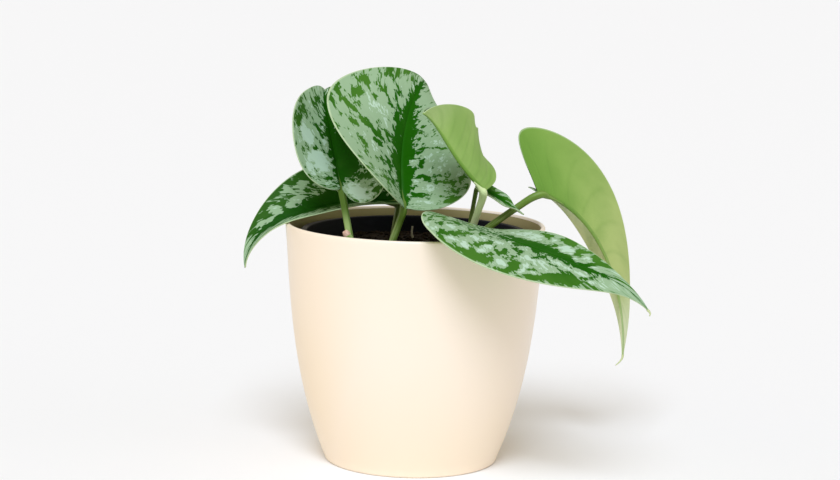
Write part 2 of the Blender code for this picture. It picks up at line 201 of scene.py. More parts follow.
FRONT_PATCHES = (
    (
        (530, 12, 90, 28, -150), (640, 10, 60, 24, -150), (480, 65, 70, 30, 100), (560, 83, 30, 9, -130),
        (585, 72, 16, 16, 90), (600, 57, 18, 3, -90), (645, 54, 34, 18, 120), (650, 88, 30, 12, -130),
        (690, 64, 13, 18, -120), (735, 56, 20, 18, 100), (710, 27, 30, 10, 100), (770, 72, 28, 14, -90),
        (775, 22, 20, 12, 90), (920, 50, 110, 90, 45),
    ),
    (
        (330, 90, 26, 9, 120), (330, 62, 18, 7, 110), (345, 47, 15, 8, 100), (385, 83, 12, 9, 100),
        (415, 77, 20, 7, 110), (405, 45, 16, 14, 110), (455, 62, 14, 20, 130), (455, 30, 30, 16, 100),
        (515, 15, 20, 12, 100), (525, 78, 18, 9, 140), (560, 45, 26, 13, 120), (610, 43, 30, 10, 120),
        (585, 72, 10, 16, 120), (650, 56, 28, 12, 120), (620, 77, 8, 5, 90), (650, 20, 30, 7, 110),
        (690, 32, 30, 8, 120), (745, 34, 25, 14, 110), (790, 60, 14, 14, 90), (840, 50, 40, 32, 100),
        (460, 85, 35, 8, -140), (478, 72, 10, 6, -110), (555, 78, 11, 18, -140), (497, 50, 8, 14, -110),
        (425, 66, 10, 7, -100), (435, 50, 8, 14, -100), (370, 68, 10, 8, -110), (385, 95, 25, 6, -100),
        (315, 74, 12, 5, -90), (465, 47, 7, 10, -100), (675, 78, 26, 16, -150), (725, 74, 28, 20, -150),
        (625, 88, 26, 9, -120), (660, 36, 24, 3, -100), (775, 50, 12, 12, -80), (545, 7, 30, 8, -120),
        (730, 4, 80, 12, -140), (610, 70, 12, 6, -90), (930, 50, 90, 90, 40),
    ),
)

LEAVES = (
    Leaf(
        "centre", base=(-6, -32, 142.5), aim=(112, 60, -12), length=100, width=(48.5, 44), lobe=(1, 5),
        notch=(0, 0.4), widest=0.42, bend=(14, 73), sway=-43, twist=-12, fold=(66, -8),
        fold_change=(-40, -31), curl=(-13, -8), curl_change=(-70, -19), foot=(-17.5, -24), silver=0.32,
        band=(0.07, 0.16), mottle=1.15, stalk_painted_shade_or_light=0.8, marks=CENTRE_PATCHES,
    ),
    Leaf(
        "curled", base=(36, -30.5, 152.3), aim=(222, 36, 32), length=60.5, width=(39.5, 38), lobe=(18.5, 9),
        notch=(0.53, 0), widest=0.24, taper=0.56, bend=(-40, 65), sway=4, twist=-39, fold=(74, 52),
        fold_change=(17, -12), curl=(61, 48), curl_change=(-55, 9), dent=(0.55, 0.1, 0.24), start=0.08,
        foot=(24, -9), bow=(0, 5, 0), stalk_painted_shade_or_light=-0.9,
    ),
    Leaf(
        "left", base=(-40, -20, 151), aim=(114, 58, -30), length=76, width=(28.5, 32), lobe=(3, 17),
        notch=(0, 0.1), widest=0.35, bend=(15, 75), twist=5, fold=(45, 15), fold_change=(5, 5),
        curl=(5, -10), curl_change=(10, 5), foot=(-31, -27), bow=(0, -4, 0), silver=0.25, band=(0.07, 0.15),
        mottle=1.3, depth=0.4, sheen=0.25, stalk_painted_shade_or_light=1.0, marks=LEFT_PATCHES,
    ),
    Leaf(
        "drooping", base=(-9, 14.5, 140), aim=(191, 5, 4), length=102, width=(23.5, 29), lobe=(14, 14),
        widest=0.25, taper=0.25, bend=(40, 55), sway=10, fold=(-7, 50), curl=(10, 5), curl_change=(8, 0),
        foot=(-14, 6), silver=-0.3, band=(0.1, 0.22), mottle=1.2, depth=0.6, sheen=-0.1,
        marks=DROOPING_PATCHES,
    ),
    Leaf(
        "small", base=(33, -3, 151.5), aim=(341, -27, 2), length=30, width=(7, 9), lobe=(3, 1), taper=0.15,
        fold=(30, 10), fold_change=(-5, -5), curl=(-5, -5), curl_change=(-5, -5), start=0.14, foot=(26, 4),
        stalk_radius=1.2,
    ),
    Leaf(
        "right", base=(65.7, -1, 148.7), aim=(35, -15, -63), length=122.5, width=(17, 42), lobe=(1, 16.5),
        notch=(0.3, 0.8), widest=0.12, taper=0.26, bend=(46, -15.5), sway=81.5, twist=16.5, fold=(78, 53),
        fold_change=(-24, -5), curl=(-10, 8), curl_change=(0, -5), start=0.09, foot=(14, -2),
        bow=(-2, 0, 2), ripeness=1.0, thread=((0.3, 0, 2), (0, 0, 0), (-1.5, 0, -2.3), (-3.6, 0, -4.3)),
    ),
    Leaf(
        "front", base=(26, -53, 138), aim=(329, -13, -1), length=109, width=(25, 39), lobe=(18.5, 18.5),
        widest=0.15, bend=(4.5, 38), sway=20, twist=28, fold=(-8, 15), fold_change=(3, -25),
        curl=(-13, -34), curl_change=(111, 25), foot=(10, -36), silver=0.05, band=(0.03, 0.03), mottle=1.35,
        sheen=0.15, marks=FRONT_PATCHES, thread=((-1, 0, 1), (0, 0, 0), (0.5, 0, -1), (0.2, 0, -2.3)),
    ),
)

CUT_STEM_TOP = (-37.5, -30.5, 129.5)
CUT_STEM_FOOT = (-26.0, -33.0)
CUT_STEM_RADIUS = 2.2
CUT_STEM_SIDES = 20

# A thin root that stands out of the soil
ROOT_LINE = ((-1.0, 20.5, 115.0), (-1.2, 20, 118.5), (-1.9, 20, 121.5), (-1.6, 20, 125.6))
THREAD_SIDES = 8

# Camera, at the photograph's viewing angle
CAMERA_PLACE = (0.0, -1172.0, 295.7)
CAMERA_YAW = 0.13
CAMERA_PITCH = 8.48
CAMERA_ROLL = 1.3
CAMERA_LENS = 93.43
CAMERA_SENSOR = 36.0

# Surroundings
FLOOR_SIZE = 80000.0
FLOOR_COLOUR = (0.90, 0.90, 0.90, 1.0)
SKY_COLOUR = (1.0, 0.91, 0.76, 1.0)
SKY_STRENGTH = 0.50

# Lamps: name, strength, colour, spread and the direction of their light
LAMPS = (
    ("key", 2.62, (0.784, 0.865, 1.0), 30, (0.06, 0.72, -0.85)),
    ("left_fill", 0.35, (1.0, 0.82, 0.58), 60, (0.9, 0.35, -0.2)),
    ("right_fill", 0.38, (1.0, 0.90, 0.92), 60, (-0.9, 0.35, -0.2)),
)


def smooth_step(value, low, high):
    share = np.clip((value - low) / (high - low), 0, 1)
    return share * share * (3 - 2 * share)


# Shapes of the blades, as in the frame


def cubic(controls, t):
    """The point at t, 0 to 1, on the cubic curve with these four control points."""
    a, b, c, d = (np.array(point, float) for point in controls)
    t = np.asarray(t, float)[..., None]
    return (1 - t) ** 3 * a + 3 * (1 - t) ** 2 * t * b + 3 * (1 - t) * t**2 * c + t**3 * d


def turned_frame(aim):
    """The blade's direction, left side and upper normal at its base."""
    heading, pitch, roll = np.radians(aim)
    level_along = np.array((math.cos(heading), math.sin(heading), 0.0))
    along = math.cos(pitch) * level_along + math.sin(pitch) * np.array((0.0, 0.0, 1.0))
    level = np.array((-math.sin(heading), math.cos(heading), 0.0))
    side = math.cos(roll) * level + math.sin(roll) * np.cross(along, level)
    return along, side, np.cross(along, side)


def margin_and_rib(leaf, half, u):
    """(along, across) of the margin, and of the midrib, at u."""
    length, width = leaf.length, leaf.width[half]
    lobe, notch = leaf.lobe[half], leaf.notch[half]
    widest = (leaf.widest * length, width)
    notch_side = (-1.25 * lobe * (1 - 0.7 * notch), (0.1 + 0.5 * notch) * width)
    back = ((0, 0), notch_side, (-1.15 * lobe, width), widest)
    front = (widest, (widest[0] + 0.34 * length, width), (0.7 * length, leaf.taper * width), (length, 0))
    round_lobe = cubic(back, np.clip(u / LOBES_END, 0, 1))
    to_tip = cubic(front, np.clip((u - LOBES_END) / (1 - LOBES_END), 0, 1))
    margin = np.where((u < LOBES_END)[..., None], round_lobe, to_tip)
    along_rib = np.clip((u - 0.1) / 0.9, 0, 1) ** 1.35 * length
    rib = np.stack([along_rib, np.zeros_like(along_rib)], axis=-1)
    if half == 0:
        place, reach, depth = leaf.dent
        margin = rib + (margin - rib) * (1 - depth * np.exp(-(((u - place) / reach) ** 2)))[..., None]
    return margin, rib


def flat_point(leaf, half, u, v):
    """(along, across) in the flat blade: u runs from the notch to the tip, v from midrib to margin."""
    margin, rib = margin_and_rib(leaf, half, u)
    point = rib + (margin - rib) * v[..., None]
    reach = np.linalg.norm(margin - rib, axis=-1)
    past_lobes = np.clip((u - 0.1) / 0.3, 0, 1)
    point[..., 0] -= 0.1 * reach * 4 * v * (1 - v) * (1 - u) * past_lobes
    return point


def at_distance(distance, distances, values):
    return np.stack([np.interp(distance, distances, values[:, axis]) for axis in range(3)], axis=-1)


def midrib(leaf):
    """Distances along the midrib, and its points, side directions and normals there."""
    along, side, normal = turned_frame(leaf.aim)
    distance = np.linspace(-0.45 * leaf.length, leaf.length, 121)
    share = distance / leaf.length
    forward = np.clip(share, 0, None)
    near_tip = np.clip((share - 0.55) / 0.45, 0, None)
    droop = np.radians(-leaf.bend[0] * share - leaf.bend[1] * near_tip**2)[:, None]
    sway = np.radians(leaf.sway * forward)[:, None]
    twist = np.radians(leaf.twist * forward)[:, None]
    direction = np.cos(droop) * (np.cos(sway) * along + np.sin(sway) * side) + np.sin(droop) * normal
    level = np.cos(sway) * side - np.sin(sway) * along
    across = np.cos(twist) * level + np.sin(twist) * np.cross(direction, level)
    upper = np.cross(direction, across)
    steps = 0.5 * (direction[1:] + direction[:-1]) * (distance[1] - distance[0])
    points = np.concatenate([np.zeros((1, 3)), np.cumsum(steps, axis=0)])
    points += np.array(leaf.base, float) - at_distance(0.0, distance, points)
    return distance, points, across, upper


def blade_point(leaf, half, u, v):
    """Points of the blade's middle surface. half is 0 on the left and 1 on the right."""
    flat = flat_point(leaf, half, u, v)
    distance, points, across, upper = midrib(leaf)
    share = np.clip(flat[..., 0] / leaf.length, -0.3, 1)
    fold = np.radians(leaf.fold[half] + leaf.fold_change[half] * share)
    curl = np.radians(leaf.curl[half] + leaf.curl_change[half] * share) / leaf.width[half]
    curl = np.where(np.abs(curl) < 1e-7, 1e-7, curl)
    end = fold + curl * flat[..., 1]
    out = (np.sin(end) - np.sin(fold)) / curl
    up = (np.cos(fold) - np.cos(end)) / curl
    out = out if half == 0 else -out
    centre = at_distance(flat[..., 0], distance, points)
    side = at_distance(flat[..., 0], distance, across)
    normal = at_distance(flat[..., 0], distance, upper)
    return centre + out[..., None] * side + up[..., None] * normal


# Materials


def new_material(name):
    made = bpy.data.materials.new(name)
    made.use_nodes = True
    return made, made.node_tree


def put(tree, socket, value):
    """Links a socket's value, or sets a plain one."""
    if isinstance(value, bpy.types.NodeSocket):
        tree.links.new(value, socket)
    else:
        socket.default_value = value


def new_node(tree, kind, inputs, operation=None):
    """A node with its inputs linked or filled in."""
    made = tree.nodes.new("ShaderNode" + kind)
    if operation:
        made.operation = operation
    for name, value in inputs.items():
        put(tree, made.inputs[name], value)
    return made


def surface(tree, colour, roughness, specular=0.5):
    shader = tree.nodes["Principled BSDF"]
    put(tree, shader.inputs["Base Color"], colour)
    put(tree, shader.inputs["Roughness"], roughness)
    shader.inputs["Specular IOR Level"].default_value = specular
    return shader


def attribute(tree, name, output="Vector"):
    made = tree.nodes.new("ShaderNodeAttribute")
    made.attribute_name = name
    return made.outputs[output]


def object_place(tree):
    return tree.nodes.new("ShaderNodeTexCoord").outputs["Object"]


def parts_of(tree, vector):
    return tuple(new_node(tree, "SeparateXYZ", {0: vector}).outputs)


def scaled(tree, vector, factors):
    return new_node(tree, "VectorMath", {0: vector, 1: factors}, "MULTIPLY").outputs[0]


def maths(tree, operation, first, second=0.0, third=0.0):
    return new_node(tree, "Math", {0: first, 1: second, 2: third}, operation).outputs[0]


def stirred(tree, field, noise_value, amount):
    """The field, moved up and down by noise around 0.5."""
    return maths(tree, "MULTIPLY_ADD", maths(tree, "SUBTRACT", noise_value, 0.5), amount, field)


def between(tree, value, low, high, to_low=0.0, to_high=1.0):
    """Smoothly from to_low, where the value is at low, to to_high."""
    ends = {"From Min": low, "From Max": high, "To Min": to_low, "To Max": to_high}
    made = new_node(tree, "MapRange", {"Value": value, **ends})
    made.interpolation_type = "SMOOTHSTEP"
    return made.outputs[0]


def mixed(tree, share, first, second):
    made = tree.nodes.new("ShaderNodeMix")
    made.data_type = "RGBA"
    put(tree, made.inputs[0], share)
    for place, colour in ((6, first), (7, second)):
        put(tree, made.inputs[place], (*colour, 1.0) if isinstance(colour, tuple) else colour)
    return made.outputs[2]


def cloudy(tree, vector, scale, detail=3.0, roughness=0.5, distortion=0.0):
    """Noise around 0.5."""
    form = {"Scale": scale, "Detail": detail, "Roughness": roughness, "Distortion": distortion}
    return new_node(tree, "TexNoise", {"Vector": vector, **form}).outputs[0]


def bumpy(tree, height, strength, distance):
    made = new_node(tree, "Bump", {"Strength": strength, "Distance": distance * MM, "Height": height})
    tree.links.new(made.outputs[0], tree.nodes["Principled BSDF"].inputs["Normal"])


# Deep green painted on leaves that sit in shade: painted shade
GREEN_PAINTED_SHADE = (0.01, 0.06, 0.004)
GREEN_DARK = (0.01, 0.095, 0.001)
GREEN_MID = (0.055, 0.17, 0.018)
SILVER = (0.285, 0.42, 0.248)
SILVER_PAINTED_SHEEN = (0.48, 0.64, 0.5)
MARGIN_PALE = (0.5, 0.62, 0.38)
RIB_PALE = (0.19, 0.33, 0.11)
PALE_EDGE = (0.97, 0.988)  # where across a half the pale margin starts, and is full


def cells(tree, vector):
    """A number for each irregular cell, 0 to 1."""
    made = new_node(tree, "TexVoronoi", {"Vector": vector, "Scale": 1.0})
    return parts_of(tree, made.outputs["Color"])[0]


def warped(tree, vector, scale, reach):
    """The vector, shifted a little by noise so that what is drawn with it is irregular."""
    made = new_node(tree, "TexNoise", {"Vector": vector, "Scale": scale, "Detail": 2.0})
    inputs = {0: made.outputs["Color"], 1: (reach, reach, 0.0), 2: vector}
    return new_node(tree, "VectorMath", inputs, "MULTIPLY_ADD").outputs[0]


def upper_side():
    """Jagged silver patches on green, a feathered green band along the midrib and a pale margin. Silver is
    painted paler where the sheen field runs high, as painted sheen, and greens are painted deeper by the
    leaf's depth, as painted shade.
    """
    made, tree = new_material("leaf_upper_side")
    grain = attribute(tree, "grain")
    along, across, _ = parts_of(tree, attribute(tree, "place"))
    silver = attribute(tree, "silver", "Fac")
    _, depth, painted_sheen = parts_of(tree, attribute(tree, "ripeness_painted_shade_sheen"))
    loose = warped(tree, grain, 0.5, 1.6)
    patches = cloudy(tree, scaled(tree, grain, (1 / 6, 1 / 8, 1)), 1.0, 2.0, 0.5, 0.2)
    blocks = cells(tree, scaled(tree, loose, (1 / 2.2, 1 / 3.2, 1)))
    flecks = cells(tree, scaled(tree, loose, (1 / 0.8, 1 / 1.3, 1)))
    fingers = cloudy(tree, scaled(tree, grain, (1 / 2.2, 1 / 9, 1)), 1.0, 2.0, 0.5)
    near_rib = between(tree, across, 0.05, 0.6, 1.0, 0.15)
    field = stirred(tree, silver, patches, 1.3)
    field = stirred(tree, field, blocks, 0.75)
    field = stirred(tree, field, flecks, 0.45)
    fingers = maths(tree, "MULTIPLY", maths(tree, "SUBTRACT", fingers, 0.5), near_rib)
    field = maths(tree, "MULTIPLY_ADD", fingers, 1.6, field)
    is_silver = between(tree, field, -0.06, 0.06)
    tone = cloudy(tree, scaled(tree, grain, (1 / 16, 1 / 20, 1)), 1.0, 2.0)
    off_rib = maths(tree, "MULTIPLY_ADD", tone, 1.6, between(tree, across, 0.1, 0.7, -0.75, -0.05))
    green = mixed(tree, between(tree, off_rib, 0.0, 1.0), GREEN_DARK, GREEN_MID)
    # Painted sheen: where this runs high the silver is painted paler, standing in for the satin's highlight
    sheen = stirred(tree, maths(tree, "ADD", silver, painted_sheen), tone, 0.8)
    sheen = stirred(tree, sheen, blocks, 0.8)
    sheen = stirred(tree, sheen, flecks, 0.6)
    pale = mixed(tree, between(tree, sheen, 0.85, 1.0, 0.0, 0.85), SILVER, SILVER_PAINTED_SHEEN)
    # depth mixes in the deep green as painted shade
    colour = mixed(tree, is_silver, mixed(tree, depth, green, GREEN_PAINTED_SHADE), pale)
    on_rib = between(tree, across, 0.006, 0.02, 1.0, 0.0)
    rib = maths(tree, "MULTIPLY", on_rib, between(tree, along, 0.08, 0.35, 0.6, 0.0))
    colour = mixed(tree, rib, colour, RIB_PALE)
    colour = mixed(tree, between(tree, across, *PALE_EDGE, 0.0, 0.8), colour, MARGIN_PALE)
    surface(tree, colour, between(tree, is_silver, 0.0, 1.0, 0.42, 0.5), 0.03)
    bumpy(tree, cloudy(tree, grain, 3.0, 2.0), 0.25, 0.12)
    return made


# The underside's lime is partly its own colour and partly painted light, standing in for light through the
# thin blade
LIME = (0.215, 0.4, 0.06)
LIME_YELLOW = (0.42, 0.5, 0.18)
LIME_DEEP = (0.11, 0.25, 0.03)
TIP_PALE = (0.64, 0.7, 0.44)


def under_side():
    made, tree = new_material("leaf_under_side")
    grain = attribute(tree, "grain")
    along, across, _ = parts_of(tree, attribute(tree, "place"))
    ripeness, _, _ = parts_of(tree, attribute(tree, "ripeness_painted_shade_sheen"))
    vein = attribute(tree, "vein", "Fac")
    tone = cloudy(tree, scaled(tree, grain, (1 / 14, 1 / 22, 1)), 1.0, 3.0)
    ripe = maths(tree, "MULTIPLY", between(tree, along, 0.15, 0.85), ripeness)
    colour = mixed(tree, ripe, LIME, LIME_YELLOW)
    young = maths(tree, "MULTIPLY", between(tree, along, 0.2, 0.6, 0.75, 0.0), ripeness)
    colour = mixed(tree, young, colour, LIME_DEEP)
    at_tip = maths(tree, "MULTIPLY", between(tree, along, 0.75, 0.92), ripeness)
    colour = mixed(tree, at_tip, colour, TIP_PALE)
    _, from_rib, _ = parts_of(tree, grain)
    # Painted light: the left half of a ripe leaf's underside painted paler where it lies in shade
    left_half_painted_light = maths(tree, "MULTIPLY", between(tree, from_rib, -2.0, -0.5, 0.5, 0.0), ripeness)
    colour = mixed(tree, left_half_painted_light, colour, TIP_PALE)
    lobes = maths(tree, "SUBTRACT", between(tree, along, 0.12, 0.32, 0.35, 0.0), ripeness)
    colour = mixed(tree, lobes, colour, LIME_YELLOW)
    colour = mixed(tree, between(tree, tone, 0.3, 0.75, 0.0, 0.35), colour, LIME_DEEP)
    colour = mixed(tree, maths(tree, "MULTIPLY", vein, 0.15), colour, LIME_DEEP)
    colour = mixed(tree, between(tree, across, 0.012, 0.035, 0.6, 0.0), colour, LIME_DEEP)
    colour = mixed(tree, between(tree, across, *PALE_EDGE, 0.0, 0.5), colour, MARGIN_PALE)
    surface(tree, colour, 0.5, 0.2)
    bumpy(tree, cloudy(tree, grain, 2.5), 0.3, 0.12)
    return made


STALK_GREEN = (0.15, 0.27, 0.035)
STALK_PALE = (0.42, 0.56, 0.21)
# Dark stalk green painted near the blade: painted shade from the leaf above
STALK_PAINTED_SHADE = (0.075, 0.15, 0.012)
# The pale sheath, painted paler still: partly its own colour and partly painted light
SHEATH_PALE_AND_PAINTED_LIGHT = (0.64, 0.76, 0.4)


def stalk_skin():
    made, tree = new_material("stalk_skin")
    grain = attribute(tree, "grain")
    along, around, painted_shade_or_light = parts_of(tree, attribute(tree, "place"))
    streaks = cloudy(tree, scaled(tree, grain, (1 / 1.2, 1 / 18, 1)), 1.0, 3.0)
    colour = mixed(tree, between(tree, streaks, 0.4, 0.75, 0.0, 0.6), STALK_GREEN, STALK_PALE)
    colour = mixed(tree, between(tree, around, 0.75, 1.0, 0.0, 0.8), colour, STALK_PALE)
    # Painted shade near the blade; below 0, the pale sheath with painted light instead
    colour = mixed(tree, maths(tree, "MULTIPLY", between(tree, along, 0.4, 0.62), painted_shade_or_light), colour, STALK_PAINTED_SHADE)
    pale = maths(tree, "MULTIPLY", between(tree, along, 0.2, 0.3, 0.0, -1.0), painted_shade_or_light)
    surface(tree, mixed(tree, pale, colour, SHEATH_PALE_AND_PAINTED_LIGHT), 0.45, 0.25)
    bumpy(tree, streaks, 0.3, 0.15)
    return made


CREAM = (0.92, 0.8, 0.675)
# Warm cream, for the glaze's own mottle and for painted warm bounce light low down and on the left
CREAM_WARM_MOTTLE_AND_PAINTED_BOUNCE = (0.94, 0.74, 0.47)
# Inside the pot the glaze is painted dark, darkest low down: painted shade
INSIDE_PAINTED_SHADE_TOP = (0.41, 0.345, 0.16)
INSIDE_PAINTED_SHADE_DEEP = (0.13, 0.11, 0.045)


def glaze():
    made, tree = new_material("cream_satin_glaze")
    where = object_place(tree)
    to_side, _, height = parts_of(tree, where)
    clouds = cloudy(tree, where, 18.0, 3.0)
    # Painted light: warm bounce painted on the low part and on the left side; the clouds add the glaze's own
    # mottle
    low = between(tree, height, 0.0, 80 * MM, 0.3, 0.0)
    to_left = between(tree, to_side, -66 * MM, -20 * MM, 1.0, 0.0)
    painted_bounce_left = maths(tree, "MULTIPLY", to_left, between(tree, height, 10 * MM, 125 * MM, 0.7, 0.25))
    low = maths(tree, "MAXIMUM", low, painted_bounce_left)
    colour = mixed(tree, maths(tree, "MULTIPLY_ADD", clouds, 0.12, low), CREAM, CREAM_WARM_MOTTLE_AND_PAINTED_BOUNCE)
    shader = surface(tree, colour, between(tree, clouds, 0.3, 0.7, 0.34, 0.40))
    shader.inputs["Coat Weight"].default_value = 0.15
    shader.inputs["Coat Roughness"].default_value = 0.25
    bumpy(tree, cloudy(tree, where, 260.0), 0.12, 0.1)
    return made


def inside_glaze():
    """The same glaze inside the pot, painted dark and darker still lower down, as painted shade."""
    made, tree = new_material("cream_satin_glaze_inside")
    where = object_place(tree)
    _, _, height = parts_of(tree, where)
    clouds = cloudy(tree, where, 40.0, 4.0)
    tint = maths(tree, "MULTIPLY_ADD", clouds, 6 * MM, height)
    high = between(tree, tint, 118 * MM, 132 * MM)
    colour = mixed(tree, high, INSIDE_PAINTED_SHADE_DEEP, INSIDE_PAINTED_SHADE_TOP)
    surface(tree, colour, between(tree, clouds, 0.3, 0.7, 0.5, 0.6), 0.3)
    bumpy(tree, clouds, 0.15, 0.1)
    return made


PLASTIC_BLACK = (0.004, 0.005, 0.01)
PLASTIC_WORN = (0.012, 0.014, 0.022)


def black_plastic():
    made, tree = new_material("nursery_plastic")
    where = object_place(tree)
    scuffs = cloudy(tree, scaled(tree, where, (60, 60, 220)), 1.0, 4.0)
    colour = mixed(tree, between(tree, scuffs, 0.5, 0.8), PLASTIC_BLACK, PLASTIC_WORN)
    surface(tree, colour, between(tree, scuffs, 0.3, 0.7, 0.38, 0.55), 0.12)
    bumpy(tree, scuffs, 0.15, 0.1)
    return made


SOIL_DARK = (0.008, 0.005, 0.003)
SOIL_BROWN = (0.03, 0.018, 0.009)
SOIL_PALE = (0.07, 0.045, 0.025)


def potting_mix():
    made, tree = new_material("potting_mix")
    where = object_place(tree)
    lumps = cloudy(tree, where, 260.0, 5.0, 0.6)
    flecks = cloudy(tree, where, 900.0, 2.0)
    colour = mixed(tree, between(tree, lumps, 0.35, 0.7), SOIL_DARK, SOIL_BROWN)
    colour = mixed(tree, between(tree, flecks, 0.66, 0.74, 0.0, 0.6), colour, SOIL_PALE)
    surface(tree, colour, 0.92, 0.15)
    bumpy(tree, lumps, 0.7, 0.8)
    return made


def tip_thread():
    made, tree = new_material("tip_thread")
    tone = cloudy(tree, attribute(tree, "grain"), 0.8, 2.0)
    surface(tree, mixed(tree, tone, LIME_YELLOW, TIP_PALE), 0.5)
    return made


ROOT_TAN = (0.55, 0.5, 0.38)
ROOT_PALE = (0.75, 0.72, 0.62)
CUT_ROSE = (0.62, 0.36, 0.26)
CUT_PALE = (0.78, 0.55, 0.42)


def two_tones(name, scale, first, second, strength, distance):
    """A dull material in two tones, with a bump that follows them."""
    made, tree = new_material(name)
    tone = cloudy(tree, object_place(tree), scale)
    surface(tree, mixed(tree, between(tree, tone, 0.3, 0.7), first, second), 0.6)
    bumpy(tree, tone, strength, distance)
    return made


# Meshes


def new_object(name, data):
    made = bpy.data.objects.new(name, data)
    bpy.context.scene.collection.objects.link(made)
    return made


def add_mesh(name, points, faces, looks, replaced=(), face_looks=None, smooth=True):
    """A mesh object from points in millimetres, riding on the frame."""
    mesh = bpy.data.meshes.new(name)
    mesh.from_pydata([tuple(point) for point in np.asarray(points, float) * MM], [], faces)
    for look in looks:
        mesh.materials.append(look)
    if face_looks is not None:
        mesh.polygons.foreach_set("material_index", np.asarray(face_looks, np.int32))
    if smooth:
        mesh.shade_smooth()
    mesh.update()
    obj = new_object(name, mesh)
    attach(obj, "root")
    if replaced:
        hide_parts(*replaced)
    return obj


def set_values(obj, name, values):
    """A number or a vector for each point of the mesh, which materials read by its name."""
    values = np.asarray(values, np.float32)
    kind, field = ("FLOAT", "value") if values.ndim == 1 else ("FLOAT_VECTOR", "vector")
    obj.data.attributes.new(name, kind, "POINT").data.foreach_set(field, values.ravel())


def lateral_vein(u, v, length):
    """How near a point is to a lateral vein, 1 on it."""
    place = VEINS * (u - VEIN_LEAN * v)
    away = np.abs(place - np.round(place)) / VEINS * MARGIN_LENGTH * length
    return np.exp(-((away / VEIN_REACH) ** 2)) * smooth_step(v, 0.0, 0.08) * smooth_step(1 - v, 0.02, 0.35)


def loosened(u, v, seed):
    """(u, v) shifted a little here and there, so that no patch is round."""
    places = np.stack([u.ravel() * 40, v.ravel() * 11, np.full(u.size, seed)], axis=-1)
    shifts = np.array([noise.noise_vector(place) for place in places])
    return u + 0.016 * shifts[:, 0].reshape(u.shape), v + 0.06 * shifts[:, 1].reshape(u.shape)


def silver_share(leaf, half, u, v):
    """Above 0 where the upper side tends to silver, and below 0 where it tends to green."""
    u, v = loosened(u, v, half + leaf.length)
    field = np.full(u.shape, leaf.silver)
    narrow, wide = leaf.band
    band = narrow + (wide - narrow) * np.sin(np.pi * np.clip((u - 0.05) / 0.9, 0, 1)) ** 1.5
    field -= 1.5 * np.exp(-((v / band) ** 2))
    for mark in leaf.marks[half]:
        mark_u, mark_v, reach_u, reach_v, change = np.array(mark) / MARK_UNITS
        away = ((u - mark_u) / reach_u) ** 2 + ((v - mark_v) / reach_v) ** 2
        field += change * np.exp(-(away**2))
    return field / leaf.mottle


def blade(leaf, number, looks):
    rows = np.linspace(leaf.start, 1.0, BLADE_ROWS + 1)
    u, v = np.meshgrid(rows, BLADE_COLUMNS, indexing="ij")
    wave = 2 * math.pi * (u * 2.3 + number * 0.37)
    sheets = []
    for half in (0, 1):
        points = blade_point(leaf, half, u, v)
        margin, rib = margin_and_rib(leaf, half, u)
        reach = np.linalg.norm(margin - rib, axis=-1)
        vein = lateral_vein(u, v, leaf.length)
        side = 1 if half else -1
        ripple = RIPPLE * v**2 * np.sin(wave + half * 1.9)
        ripple = ripple * smooth_step(u, 0.1, 0.3) * smooth_step(1 - u, 0, 0.2)
        past_round = ((v - (1 - MARGIN_ROUND)) / MARGIN_ROUND).clip(0)
        thickness = HALF_THICKNESS * np.sqrt(np.clip(1 - past_round**2, 0, 1))
        from_rib = v * reach
        thinning = 1 - 0.8 * np.clip((u - 0.1) / 0.9, 0, 1)
        groove = GROOVE_DEPTH * thinning * np.exp(-((from_rib / GROOVE_REACH) ** 2))
        ridge = RIDGE_HEIGHT * thinning * np.exp(-((from_rib / RIDGE_REACH) ** 2))
        values = {
            "offset": ripple - VEIN_DEPTH * vein, "over": thickness - groove, "under": thickness + ridge,
            "p": leaf.length * MARGIN_LENGTH * (u - VEIN_LEAN * v), "q": side * from_rib,
            "u": u, "v": v, "vein": vein, "silver": silver_share(leaf, half, u, v),
        }
        sheets.append((points, values))
    weld_blade(leaf, number, sheets, looks)


